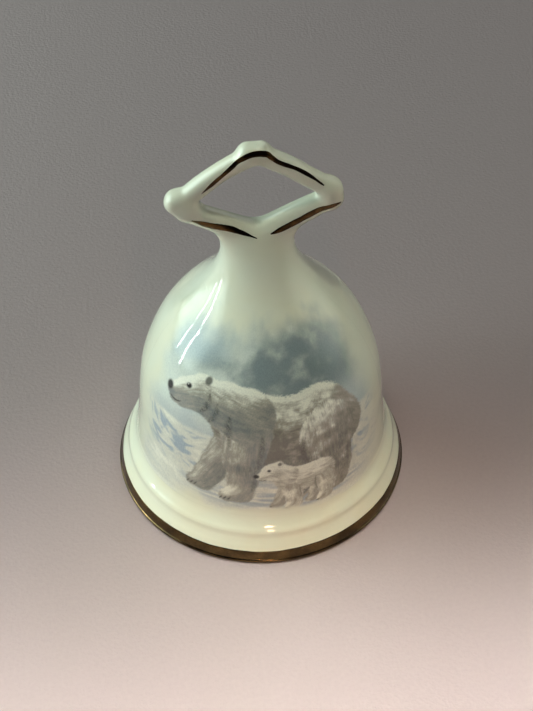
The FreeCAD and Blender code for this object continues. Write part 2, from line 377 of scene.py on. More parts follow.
def shell(outer):
    """The body: from over the cement down its inside, round the foot and up its outside to the handle."""
    inner = outer - WALL * outward(outer)
    inner = inner[(outer[:, 1] > SKIRT_TOP) & (inner[:, 1] < CAVITY_TOP - 1.2)]
    skirt_inside = [(FOOT_INNER + 0.1, 0.3), (FOOT_INNER - 0.6, 4.0), (FOOT_INNER - 3.0, 10.0), inner[0]]
    roof = [inner[-1], (9.2, CAVITY_TOP - 0.3), (7.2, CAVITY_TOP), (6.0, CAVITY_TOP)]
    foot = [(FOOT_INNER + 0.5, 0.0)]
    inside = np.vstack([foot, smooth_curve(skirt_inside, 0.8), inner[6:-6:7], smooth_curve(roof, 0.5)])
    plug_edge = [(0.01, CEMENT_FACE), (3.0, CEMENT_FACE), (5.9, CAVITY_TOP + 0.35)]
    crown = [(RIM - 32.2, CROWN_FACE), (4.0, CROWN_FACE), (0.01, CROWN_FACE)]
    profile = np.vstack([plug_edge, inside[::-1], thinned(outer), crown])
    vertices, faces = turned(profile)
    return mesh_piece("shell", leaning(vertices), faces)


BAND_LOW, BAND_HIGH = 0.12, 4.3  # heights that the gold band covers
BAND_FILM, BAND_DEPTH = 0.05, 0.25  # how far the band stands out of the shell, and how deep it goes in
BAND_WAVER = 2.2  # height from which its top edge wavers
BAND_WAVES = [(5, 0.10, 1.0), (13, 0.06, 0.4), (41, 0.03, 0.0)]  # waves round the rim, height in mm, phase
BAND_LEAN = 0.45  # mm that the edge moves in for each mm that it moves up


def rim_band(outer):
    """Fired gold over the rounded rim; its top edge wavers where the brush was lifted."""
    rows = outer[(outer[:, 1] > BAND_LOW) & (outer[:, 1] < BAND_HIGH)][::2]
    film = BAND_FILM * np.sin(np.linspace(0, math.pi, len(rows)))[:, None] ** 0.4
    face = rows + outward(rows) * film
    back = (rows - outward(rows) * BAND_DEPTH)[::-1]
    vertices, faces = turned(np.vstack([face, back]), closed=True)
    angle = np.arctan2(vertices[:, 1], vertices[:, 0])
    rise = sum(size * np.sin(count * angle + phase) for count, size, phase in BAND_WAVES)
    share = np.clip((vertices[:, 2] - BAND_WAVER) / (BAND_HIGH - BAND_WAVER), 0, 1) ** 2
    vertices[:, 2] += rise * share
    radius = np.hypot(vertices[:, 0], vertices[:, 1])
    vertices[:, :2] *= (1 - rise * share * BAND_LEAN / radius)[:, None]
    return mesh_piece("rim_gold", vertices, faces)


# ---- picture

# The picture's field on the shell: degrees from the front towards the right, and heights in mm.
PICTURE_LEFT, PICTURE_RIGHT = -84.0, 72.0
PICTURE_BOTTOM, PICTURE_TOP = 13.5, 69.0
CANVAS_STEP = 0.11  # mm of shell
SKY_PALE = np.array((0.63, 0.675, 0.62))
SKY_BLUE = np.array((0.42, 0.505, 0.545))
SKY_STORM = np.array((0.20, 0.245, 0.265))
SNOW = np.array((0.76, 0.755, 0.665))
SNOW_BLUE = np.array((0.355, 0.42, 0.495))
SNOW_GREY = np.array((0.50, 0.53, 0.535))
FUR_LIGHT = np.array((0.86, 0.86, 0.76))
FUR_WARM = np.array((0.46, 0.41, 0.315))
FUR_BROWN = np.array((0.185, 0.165, 0.138))
FUR_GREY = np.array((0.26, 0.275, 0.28))
INK = np.array((0.008, 0.008, 0.010))


def blurred(field, reach):
    """Gaussian blur of a canvas-sized field; reach is its standard deviation in mm."""
    rows, columns = field.shape
    padded = np.pad(field, ((0, rows // 4), (0, columns // 4)), mode="reflect")
    fy = np.fft.fftfreq(padded.shape[0])[:, None]
    fx = np.fft.rfftfreq(padded.shape[1])[None, :]
    damp = np.exp(-2 * (math.pi * reach / CANVAS_STEP) ** 2 * (fx * fx + fy * fy))
    return np.fft.irfft2(np.fft.rfft2(padded) * damp, padded.shape)[:rows, :columns]


class Canvas:
    """A picture painted on the unrolled shell, from back to front."""

    def __init__(self, height_up, radius_up):
        """height_up and radius_up: the shell's height and radius at even steps up its outside."""
        self.random = np.random.default_rng(7)
        self.height, self.radius = height_up, radius_up
        middle_radius = radius_up[np.searchsorted(height_up, 30.0)]
        columns = int(math.radians(PICTURE_RIGHT - PICTURE_LEFT) * middle_radius / CANVAS_STEP)
        self.turn = np.linspace(PICTURE_LEFT, PICTURE_RIGHT, columns)[None, :]
        self.up = np.arange(len(height_up))[:, None] * CANVAS_STEP
        self.high = height_up[:, None]
        self.shape = (len(height_up), columns)
        self.colour = np.zeros(self.shape + (3,))

    def place(self, turn, height):
        """Distances in mm on the shell from a point, to the right and up."""
        at = np.searchsorted(self.height, height)
        return (self.turn - turn) * math.radians(self.radius[at]), self.up - self.up[at, 0]

    def lay(self, colour, cover):
        """Paint over what is there, by cover from 0 to 1."""
        self.colour += (colour - self.colour) * np.clip(cover, 0, 1)[..., None]

    def clouds(self, size, stretch=1.0, octaves=4):
        """Soft noise with mean 0 and spread 1, longer in the horizontal by stretch."""
        total = np.zeros(self.shape)
        for octave in range(octaves):
            rows = int(self.shape[0] * CANVAS_STEP / size * 2 ** octave) + 3
            columns = int(self.shape[1] * CANVAS_STEP / size / stretch * 2 ** octave) + 3
            seeds = self.random.standard_normal((rows, columns))
            y = np.linspace(0, rows - 1.001, self.shape[0])
            x = np.linspace(0, columns - 1.001, self.shape[1])
            wide = np.stack([np.interp(x, np.arange(columns), row) for row in seeds])
            below = y.astype(int)
            share = eased(y - below, 0, 1)[:, None]
            total += (wide[below] * (1 - share) + wide[below + 1] * share) * 0.55 ** octave
        return (total - total.mean()) / total.std()

    def combed(self, angle, length, coarse=0.0, window=(slice(None), slice(None))):
        """Noise drawn out into hairs of the given length in mm along an angle field, in radians."""
        grain = self.random.standard_normal(self.shape)
        seeds = (blurred(grain, coarse) if coarse else grain)[window]
        step_x, step_y = np.cos(angle[window]).ravel(), np.sin(angle[window]).ravel()
        tall, wide = seeds.shape
        rows, columns = np.indices(seeds.shape).astype(np.float32)
        flat = seeds.ravel()
        total = flat.copy()
        for sense in (1, -1):
            x, y = columns.ravel() + 0.5, rows.ravel() + 0.5
            at = np.arange(flat.size)
            for _ in range(int(length / CANVAS_STEP / 2)):
                x = np.clip(x + sense * step_x[at], 0, wide - 0.5)
                y = np.clip(y + sense * step_y[at], 0, tall - 0.5)
                at = y.astype(int) * wide + x.astype(int)
                total += flat[at]
        hairs = np.zeros(self.shape)
        hairs[window] = np.clip((total - total.mean()) / total.std(), -2.5, 2.5).reshape(seeds.shape)
        return hairs


class Form:
    """A rounded body of limbs. A limb is a list of (degrees, height, radius, mm nearer than the rest)."""

    def __init__(self, canvas, limbs, blend=2.0):
        self.canvas = canvas
        sharp = 1 / blend
        reach = np.zeros(canvas.shape)
        relief = np.zeros(canvas.shape)
        lean_x = np.zeros(canvas.shape)
        lean_y = np.full(canvas.shape, -1e-6)
        for limb in limbs:
            for start, end in zip(limb, limb[1:]):
                inside, rise, along = self.bar(start, end)
                weight = np.exp(np.clip(inside * sharp * 3, -40, 20))
                reach += weight
                near = np.exp(np.clip((rise + 4) * sharp * 1.5, -40, 30)) * (inside > 0)
                relief += near
                lean_x += weight * along[0]
                lean_y += weight * along[1]
        self.inside = np.log(reach + 1e-12) / (sharp * 3)
        self.relief = np.where(relief > 0, np.log(relief + 1e-12) / (sharp * 1.5) - 4, 0)
        self.angle = np.arctan2(lean_y, lean_x)
        rows, columns = np.nonzero(self.inside > -1)
        self.window = (slice(rows.min(), rows.max() + 1), slice(columns.min(), columns.max() + 1))

    def bar(self, start, end):
        """How far inside a limb each point is, how near its form comes there, and the limb's direction."""
        dx, dy = self.canvas.place(start[0], start[1])
        ex, ey = self.canvas.place(end[0], end[1])
        run = np.array([(dx - ex).mean(), (dy - ey).mean()])
        length = np.hypot(*run)
        run = run / max(length, 1e-6)
        along = np.clip((dx * run[0] + dy * run[1]) / max(length, 1e-6), 0, 1)
        radius = start[2] + (end[2] - start[2]) * along
        far = np.hypot(dx - run[0] * along * length, dy - run[1] * along * length)
        near = start[3] + (end[3] - start[3]) * along
        rise = near + np.sqrt(np.maximum(radius ** 2 - far ** 2, 0))
        return radius - far, rise, run

    def light(self, sun, smooth=0.5):
        """How much of the light from a direction (right, up, out) the form catches, 0 to 1."""
        height = blurred(self.relief * eased(self.inside, -0.2, 0.6), smooth)
        slope_y, slope_x = np.gradient(height, CANVAS_STEP)
        facing = np.stack([-slope_x, -slope_y, np.ones_like(slope_x)])
        facing /= np.linalg.norm(facing, axis=0)
        sun = np.array(sun) / np.linalg.norm(sun)
        return np.clip(np.tensordot(sun, facing, 1), 0, 1)

    def cover(self, fringe):
        """Coverage with a furry outline: fringe is the hair noise times how far hairs stand out, in mm."""
        return eased(self.inside + fringe, -0.25, 0.25)


def spot(canvas, turn, height, wide, tall, tilt=0.0, soft=0.35):
    """Coverage of a small soft ellipse; wide and tall are half sizes in mm, tilt in degrees."""
    dx, dy = canvas.place(turn, height)
    c, s = math.cos(math.radians(tilt)), math.sin(math.radians(tilt))
    reach = np.hypot((dx * c + dy * s) / wide, (dy * c - dx * s) / tall)
    return 1 - eased(reach, 1 - soft, 1 + soft)


def stroke(canvas, points, width, fade=0.3):
    """Coverage of a soft line through (degrees, height) points, thin at its ends; width is half its own."""
    cover = np.zeros(canvas.shape)
    path = smooth_curve(points, 0.4)
    for index, (turn, height) in enumerate(path):
        half = width * (0.25 + 0.75 * math.sin(math.pi * (index + 0.5) / len(path)))
        dx, dy = canvas.place(turn, height)
        rows, columns = np.abs(dy[:, 0]) < 2 * width, np.abs(dx[0]) < 2 * width
        near = np.ix_(rows, columns)
        far = np.hypot(dy[rows], dx[:, columns])
        cover[near] = np.maximum(cover[near], 1 - eased(far, half * (1 - fade), half * (1 + fade)))
    return cover


def paint_sky(canvas):
    turn, high = canvas.turn + 0 * canvas.high, canvas.high + 0 * canvas.turn
    drift = canvas.clouds(16.0, 1.6)
    wisps = canvas.clouds(6.0, 1.4)
    canvas.lay(SKY_PALE, np.ones(canvas.shape))
    blue = eased(drift + 0.35 * wisps, -0.9, 1.1) * 0.75
    canvas.lay(SKY_BLUE, blue)
    storm = spot(canvas, 10, 58, 22, 15, 0, 0.6) * eased(drift * 0.4 + wisps * 0.45, -1.9, 0.2)
    canvas.lay(SKY_STORM, storm * 0.95)
    canvas.lay(SKY_BLUE * 0.9, spot(canvas, -40, 62, 9, 5, 20, 0.7) * 0.85)
    canvas.lay(SKY_BLUE * 0.85, spot(canvas, 49, 34, 7, 14, 0, 0.7) * 0.8)
    canvas.lay(SKY_PALE * 1.12, spot(canvas, -66, 47, 9, 8, 0, 0.8) * 0.7)
    canvas.lay(SKY_PALE * 1.1, spot(canvas, -10, 66, 9, 4, 0, 0.8) * 0.5)
    canvas.lay(SNOW_GREY * 0.92, eased(46 - high + wisps * 0.8, 0, 6) * 0.55 * eased(-turn, 10, 30))


def paint_ice(canvas):
    """Pressure ridges and wind-cut snow down to the foreground."""
    high = canvas.high + 0 * canvas.turn
    ground = eased(39.5 - high + canvas.clouds(9.0, 2.5) * 0.7, -1.2, 1.2)
    canvas.lay(SNOW * 0.93, ground * 0.92)
    lie = np.full(canvas.shape, math.radians(-16.0)) + 0.35 * canvas.clouds(12.0)
    drawn = canvas.combed(lie, 5.0, 0.35)
    lumps = canvas.clouds(3.2, 2.0)
    blue = eased(drawn * 0.7 + lumps * 0.8, 0.1, 1.7)
    canvas.lay(SNOW_BLUE, ground * blue * (0.35 + 0.6 * eased(high, 17, 32)))
    canvas.lay(SNOW * 1.08, ground * eased(-drawn * 0.6 - lumps * 0.8, 0.5, 1.9) * 0.85)
    canvas.lay(SNOW, eased(24 - high, 0, 6) * 0.55)


def paint_shadows(canvas):
    """Blue shadows on the snow under the animals."""
    lie = canvas.combed(np.full(canvas.shape, math.radians(-4.0)), 6.0, 0.3)
    ragged = eased(lie, -1.4, 1.0)
    for turn, height, wide, tall, tilt, depth in (
            (4, 19.0, 24, 2.4, 0, 0.85), (-31, 21.4, 8, 1.5, -4, 0.7), (14, 16.4, 9, 1.6, 2, 0.75),
            (30, 18.4, 8, 1.8, 4, 0.7), (0, 25, 12, 5.0, 0, 0.6)):
        canvas.lay(SNOW_BLUE * 0.92, spot(canvas, turn, height, wide, tall, tilt, 0.6) * ragged * depth)


def fur_tones(tone, hair, clumps, shade):
    """Colours from shade through warm grey to light by tone 0 to 1, broken up by the hairs."""
    broken = np.clip(tone + hair * 0.075 + clumps * 0.06, 0, 1)[..., None]
    middle = FUR_WARM * 0.62 + FUR_GREY * 0.38
    lower = shade + (middle - shade) * np.clip(broken / 0.5, 0, 1)
    return lower + (FUR_LIGHT - lower) * eased(broken, 0.42, 0.95)


def paint_form(canvas, form, tone, shade, length, fringe):
    """Paint a form in fur: length is the hairs' own, and fringe is how far they stand out, in mm."""
    hair = canvas.combed(form.angle, length, 0.0, form.window)
    clumps = canvas.combed(form.angle, length * 1.6, 0.28, form.window)
    canvas.lay(fur_tones(tone, hair, clumps, shade), form.cover(hair * fringe))


SUN = (-0.45, 0.85, 0.25)  # where the picture's light comes from: right, up, out


def paint_bear(canvas):
    """A white bear seen from the side, which walks over level snow with all four feet down."""
    far_fore = Form(canvas, [
        [(-17, 40.0, 6.4, -3), (-25, 31.5, 4.4, -2), (-31, 25.8, 3.5, -2), (-33.5, 22.8, 2.9, -2),
         (-38.5, 21.7, 2.0, -2)],
    ])
    paint_form(canvas, far_fore, 0.20 + 0.46 * far_fore.light(SUN), FUR_GREY * 0.6, 2.4, 0.16)
    far_hind = Form(canvas, [
        [(22, 34.0, 7.0, -3), (13, 27.5, 4.6, -3), (12, 23.6, 3.4, -3), (9.5, 21.2, 2.8, -3),
         (4.5, 20.4, 2.0, -3)],
    ])
    paint_form(canvas, far_hind, 0.14 + 0.42 * far_hind.light(SUN), FUR_GREY * 0.55, 2.8, 0.2)

    body = Form(canvas, [
        [(-15, 45.5, 8.6, 1), (-4, 43.4, 9.2, 2), (10, 41.8, 9.9, 2), (24, 43.0, 9.8, 1), (31, 39.0, 8.6, 0)],
        [(-12, 40.5, 8.0, 1), (6, 38.0, 8.4, 2), (22, 37.5, 8.4, 1)],
    ], 2.6)
    dapples = canvas.clouds(2.6, 1.0, 3)
    broad = canvas.clouds(9.0, 1.0, 2)
    lit = body.light(SUN, 0.8)
    rim = eased(2.4 - body.inside, 0, 2.0) * eased(lit, 0.25, 0.65)
    tone = 0.20 + 0.56 * lit + 0.20 * dapples * eased(body.inside, 1.5, 5) + 0.06 * broad + 0.75 * rim
    tone -= 0.26 * spot(canvas, 8, 37, 12, 6, 0, 0.9)
    paint_form(canvas, body, tone, FUR_BROWN, 2.6, 0.22)

    near_hind = Form(canvas, [
        [(27, 39.0, 8.6, 2), (27, 31.0, 6.2, 2), (31.5, 25.2, 4.2, 2), (30.5, 21.0, 3.2, 2),
         (24.5, 19.6, 2.3, 2)],
    ])
    tone = 0.22 + 0.62 * near_hind.light(SUN) + 0.12 * dapples
    paint_form(canvas, near_hind, tone, FUR_BROWN, 2.4, 0.15)

    near_fore = Form(canvas, [
        [(-13, 42.0, 7.0, 2), (-14, 33.0, 5.0, 3), (-14.5, 26.5, 3.9, 3), (-15.5, 21.8, 3.2, 3),
         (-21.5, 20.2, 2.3, 3)],
    ])
    tone = 0.24 + 0.68 * near_fore.light(SUN) + 0.07 * dapples
    paint_form(canvas, near_fore, tone, FUR_GREY * 0.8, 2.4, 0.15)

    head = Form(canvas, [
        [(-14, 47.0, 8.0, 2), (-25, 48.6, 6.6, 3), (-35, 49.8, 5.2, 4)],
        [(-39, 50.6, 4.6, 5), (-47, 49.0, 3.1, 5), (-54.5, 47.2, 2.0, 5)],
        [(-40, 48.2, 3.7, 4), (-48, 46.4, 2.4, 4), (-53.5, 45.4, 1.4, 4)],
    ], 1.6)
    tone = 0.26 + 0.68 * head.light(SUN, 0.4) + 0.045 * dapples
    tone += 0.6 * eased(2.4 - head.inside, 0, 2.0) * eased(head.light(SUN, 0.8), 0.3, 0.7)
    tone -= 0.15 * spot(canvas, -24, 45.5, 7, 4, -10, 0.8)
    paint_form(canvas, head, tone, FUR_GREY * 0.75, 1.8, 0.12)


# Spots: degrees, height, half width, half height, tilt, depth. Lines: points, half width, depth.
BEAR_SPOTS = [
    (-58.2, 47.4, 1.1, 1.3, 10, 0.97), (-46.4, 50.4, 0.85, 0.75, 10, 1.0),
    (-35.6, 53.6, 0.95, 1.25, -20, 0.8),
]
BEAR_MOUTH = [([(-56.8, 45.2), (-52.5, 44.7), (-48.4, 45.3)], 0.26, 0.8)]
BEAR_CREASES = [
    ([(-33.4, 50.6), (-33.2, 48.6), (-34.6, 46.8), (-36.8, 45.6)], 0.75, 0.75),
    ([(-28.6, 49.0), (-28.4, 47.0), (-29.6, 45.0), (-31.8, 43.6)], 0.7, 0.6),
    ([(-21.4, 46.6), (-21.8, 43.6), (-21.4, 40.6), (-20.4, 37.6)], 0.9, 0.6),
    ([(-5.4, 41.6), (-5.6, 38.0), (-6.6, 34.6), (-7.6, 31.0)], 0.85, 0.6),
    ([(-9.4, 27.4), (-9.6, 25.0), (-10.2, 22.8)], 0.6, 0.45),
    ([(14.6, 40.6), (13.4, 37.2), (13.8, 33.8), (15.6, 30.8)], 0.85, 0.55),
    ([(36.8, 30.4), (36.6, 27.4), (37.4, 24.6)], 0.7, 0.5),
]
BEAR_PAWS = [(-40.6, 20.9), (-24.2, 19.2), (2.0, 19.5), (21.6, 18.7)]
CUB_SPOTS = [
    (-8.3, 28.2, 0.8, 0.72, 0, 0.97), (-2.6, 30.3, 0.5, 0.46, 0, 0.95), (2.2, 32.3, 0.5, 0.62, -15, 0.75),
    (4.8, 15.9, 0.5, 0.28, 0, 0.65), (19.6, 15.9, 0.5, 0.28, 0, 0.65), (-2.0, 16.9, 0.4, 0.26, 0, 0.6),
]
CUB_LINES = [
    ([(-7.2, 26.9), (-5.4, 26.6), (-3.6, 27.1)], 0.2, 0.7),
    ([(11.2, 23.4), (11.6, 20.4), (11.2, 18.0)], 0.34, 0.4),
    ([(19.2, 25.4), (18.8, 22.6), (20.0, 19.8)], 0.34, 0.4),
]


def ink_spots(canvas, spots):
    for turn, height, wide, tall, tilt, depth in spots:
        canvas.lay(INK, spot(canvas, turn, height, wide, tall, tilt) * depth)


def ink_lines(canvas, lines, fade=0.3, broken=1.0):
    for points, width, depth in lines:
        canvas.lay(INK, stroke(canvas, points, width, fade) * depth * broken)


def paint_bear_marks(canvas, hair):
    """Nose, eye, ear, mouth, creases and claws."""
    ink_spots(canvas, BEAR_SPOTS)
    ink_lines(canvas, BEAR_MOUTH)
    ink_lines(canvas, BEAR_CREASES, 0.8, eased(hair, -1.3, 0.9))
    canvas.lay(FUR_LIGHT, spot(canvas, -47.0, 50.7, 0.17, 0.17) * 0.9)
    hatch = canvas.combed(np.full(canvas.shape, math.radians(86.0)), 4.5)
    canvas.lay(FUR_GREY * 0.42, spot(canvas, 4, 30.4, 13.0, 3.4, 0, 0.7) * eased(hatch, -0.9, 1.1) * 0.8)
    canvas.lay(FUR_GREY * 0.45, spot(canvas, 34, 30, 4.0, 9.0, 0, 0.8) * eased(hatch, -0.8, 1.2) * 0.6)
    for foot, height in BEAR_PAWS:
        for toe in (foot, foot + 1.9, foot + 3.8):
            ink_lines(canvas, [([(toe + 0.5, height + 0.5), (toe - 0.9, height - 0.7)], 0.22, 0.75)])


def paint_cub(canvas):
    """Its cub, seen from the side as well, which trots along between it and us."""
    far_legs = Form(canvas, [
        [(6.5, 24.0, 2.8, -1), (3.0, 20.0, 1.9, -1), (1.5, 17.9, 1.4, -1), (-0.8, 17.4, 1.0, -1)],
        [(21.5, 23.5, 3.0, -1), (18.5, 19.8, 2.0, -1), (17.5, 17.8, 1.5, -1), (15.2, 17.3, 1.0, -1)],
    ], 1.0)
    paint_form(canvas, far_legs, 0.36 + 0.40 * far_legs.light(SUN, 0.3), FUR_GREY * 0.7, 1.6, 0.1)
    body = Form(canvas, [
        [(6.5, 26.6, 4.1, 1), (14, 26.0, 4.3, 1), (21.5, 26.4, 4.4, 1)],
        [(7.5, 24.5, 3.4, 1), (8.6, 20.0, 2.2, 2), (9.0, 17.4, 1.8, 2), (6.4, 16.5, 1.3, 2)],
        [(22.5, 25.0, 3.8, 1), (24.4, 20.2, 2.3, 2), (24.0, 17.4, 1.8, 2), (21.2, 16.5, 1.3, 2)],
    ], 1.3)
    tone = 0.54 + 0.50 * body.light(SUN, 0.35)
    paint_form(canvas, body, tone, FUR_BROWN * 1.15, 1.6, 0.12)
    head = Form(canvas, [
        [(5.0, 28.0, 3.6, 2), (-0.5, 29.6, 3.3, 3)],
        [(-2.2, 29.3, 2.6, 4), (-5.8, 28.0, 1.5, 4)],
        [(2.0, 32.4, 1.0, 3), (2.3, 32.2, 1.0, 3)],
    ], 1.0)
    tone = 0.62 + 0.46 * head.light(SUN, 0.3)
    paint_form(canvas, head, tone, FUR_GREY, 1.2, 0.08)
    ink_spots(canvas, CUB_SPOTS)
    ink_lines(canvas, CUB_LINES)


def picture_cover(canvas):
    """Where the print lies: its edges fade out, unevenly, to bare glaze."""
    wander = canvas.clouds(8.0, 1.0, 3)
    turn, high = canvas.turn + wander * 2.2, canvas.high + wander * 1.1
    sides = eased(turn, -79, -63) * eased(-turn, -69, -44)
    return sides * eased(-high, -68.4, -60.0) * eased(high, 13.9, 16.8)


def paint_picture(height_up, radius_up):
    canvas = Canvas(height_up, radius_up)
    paint_sky(canvas)
    paint_ice(canvas)
    paint_shadows(canvas)
    paint_bear(canvas)
    paint_bear_marks(canvas, canvas.combed(np.full(canvas.shape, math.radians(-50.0)), 1.6))
    paint_cub(canvas)
    return canvas, picture_cover(canvas)


FILM = 0.03  # how far the print stands proud of the shell, so that it is seen
PICTURE_COLUMNS, PICTURE_ROWS = 384, 258


def picture(outer):
    """The fired print, a film on the shell whose colours are held at its vertices."""
    along = run_lengths(outer)
    start, end = np.interp((PICTURE_BOTTOM, PICTURE_TOP), outer[:, 1], along)
    steps = np.arange(start, end, CANVAS_STEP)
    canvas, cover = paint_picture(np.interp(steps, along, outer[:, 1]), np.interp(steps, along, outer[:, 0]))
    row = np.linspace(0, len(steps) - 1, PICTURE_ROWS)
    column = np.linspace(0, canvas.shape[1] - 1, PICTURE_COLUMNS)
    profile = read_along(outer, along, np.interp(row, np.arange(len(steps)), steps))
    angle = np.radians(np.linspace(PICTURE_LEFT, PICTURE_RIGHT, PICTURE_COLUMNS) - 90)
    border = np.minimum.outer(np.minimum(row, row[::-1]), np.minimum(column, column[::-1]))
    lift = np.where(border < 1, -FILM, FILM)
    vertices = round_points(profile, angle, lift)
    piece = mesh_piece("picture", leaning(vertices), grid_faces(PICTURE_ROWS, PICTURE_COLUMNS))
    colours = np.concatenate([canvas.colour.clip(0, 1), cover[..., None]], axis=-1)
    shades = np.stack([resampled(colours[..., k], row, column) for k in range(4)], axis=-1)
    paint = piece.data.attributes.new("paint", "FLOAT_COLOR", "POINT")
    opaque = np.ones_like(shades[..., :1])
    paint.data.foreach_set("color", np.concatenate([shades[..., :3], opaque], axis=-1).ravel())
    print_cover = piece.data.attributes.new("print_cover", "FLOAT", "POINT")
    print_cover.data.foreach_set("value", shades[..., 3].ravel())
    return piece


def resampled(field, row, column):
    """A canvas field read between its points, by straight interpolation."""
    wide = np.stack([np.interp(column, np.arange(field.shape[1]), line) for line in field])
    below = np.minimum(row.astype(int), field.shape[0] - 2)
    share = (row - below)[:, None]
    return wide[below] * (1 - share) + wide[below + 1] * share


# ---- handle

# The handle's skeleton, in mm: x, height over the neck, radius. Its plane is y = 0.
ARMS_MEET = (0.0, 3.7, 2.4)
ARMS = {
    "upper_left": [(-17.2, 15.6, 2.4), (-13.6, 18.8, 2.45), (-8.8, 22.6, 2.3), (-2.2, 26.6, 2.4)],
    "upper_right": [(1.8, 26.6, 2.4), (7.9, 22.9, 2.45), (12.8, 19.2, 2.4), (16.8, 16.4, 2.4)],
    "lower_left": [(-17.0, 11.9, 2.45), (-14.0, 10.35, 2.25), (-9.0, 8.0, 2.2), (-4.1, 5.6, 2.2), ARMS_MEET],
    "lower_right": [(17.4, 12.4, 2.4), (12.0, 10.0, 2.35), (7.6, 7.7, 2.4), (3.6, 5.5, 2.4), ARMS_MEET],
}
KNOBS = [
    [(-19.65, 14.6, 2.95), (-17.2, 12.8, 3.3)],
    [(18.3, 15.0, 3.0), (18.4, 12.9, 2.9)],
    [(-2.0, 27.7, 2.6), (1.0, 27.9, 2.45)],
]
ARM_SPACING = 2.2  # mm between points along an arm
STEM = [  # height over the neck, half width, half depth
    (1.0, 9.42, 8.9), (2.2, 9.7, 7.4), (3.4, 10.3, 5.6), (4.6, 11.2, 4.1), (5.8, 12.6, 3.2), (7.6, 15.5, 2.6),
]
STEM_TOP, STEM_RISE = 4.8, 0.42  # height of its top in the middle, and how steeply that rises to the sides
STEM_START = -3.0  # height over the neck below which the handle's foot sinks into the shell
LUTING, SINKING = 0.012, 0.003  # how far the foot stands proud of the shell there, and how it sinks below
STEM_ROUND = 1.5  # mm over which its top is rounded
SQUARENESS = 2.5  # 2 is a round section, and more is squarer
ARM_BLEND, KNOB_BLEND, STEM_BLEND = 1.2, 1.6, 2.4  # mm over which a part runs into the rest
VOXEL = 0.3  # mm
OUTSIDE = 3.0  # the distance that voxels hold where there is nothing
SIGHT = np.linspace(12.0, -1.0, 521)  # mm before the handle's plane where its surface is looked for
VOXELS_FROM, VOXELS_TO = (-24.5, -13.5, NECK - 8.0), (23.5, 13.5, NECK + 32.5)


def smooth_min(first, second, reach):
    """The smaller of two distances, with a fillet about as wide as reach where they are alike."""
    overlap = np.maximum(reach - np.abs(first - second), 0) / reach
    return np.minimum(first, second) - overlap * overlap * reach / 4


def limb_field(x, y, z, limb):
    """Signed distance, nearly, to a bar with soft corners along (x, height, radius) points."""
    field = np.full(np.broadcast(x, y, z).shape, 1e3)
    for start, end in zip(limb, limb[1:]):
        run = np.array([end[0] - start[0], end[1] - start[1]])
        length = np.hypot(*run)
        run = run / length
        dx, dz = x - start[0], z - start[1]
        along = dx * run[0] + dz * run[1]
        across = np.abs(dz * run[0] - dx * run[1])
        beyond = np.maximum(np.maximum(-along, along - length), 0)
        radius = start[2] + (end[2] - start[2]) * np.clip(along / length, 0, 1)
        flat_reach = np.hypot(across, beyond)
        reach = (flat_reach ** SQUARENESS + np.abs(y) ** SQUARENESS) ** (1 / SQUARENESS)
        field = np.minimum(field, reach - radius)
    return field


def stem_section(outer):
    """Heights over the neck, half widths and half depths of the stem, which grows out of the shell."""
    foot = []
    for height in np.arange(-9.0, 0.1, 0.5):
        radius = np.interp(NECK + height, outer[:, 1], outer[:, 0])
        sunk = SINKING * max(0.0, STEM_START - height) ** 2
        foot.append((height, radius + LUTING - sunk, radius + LUTING - sunk))
    return smooth_curve(foot[:-1] + [(0.2, 9.41, 9.36)] + STEM, 0.1)


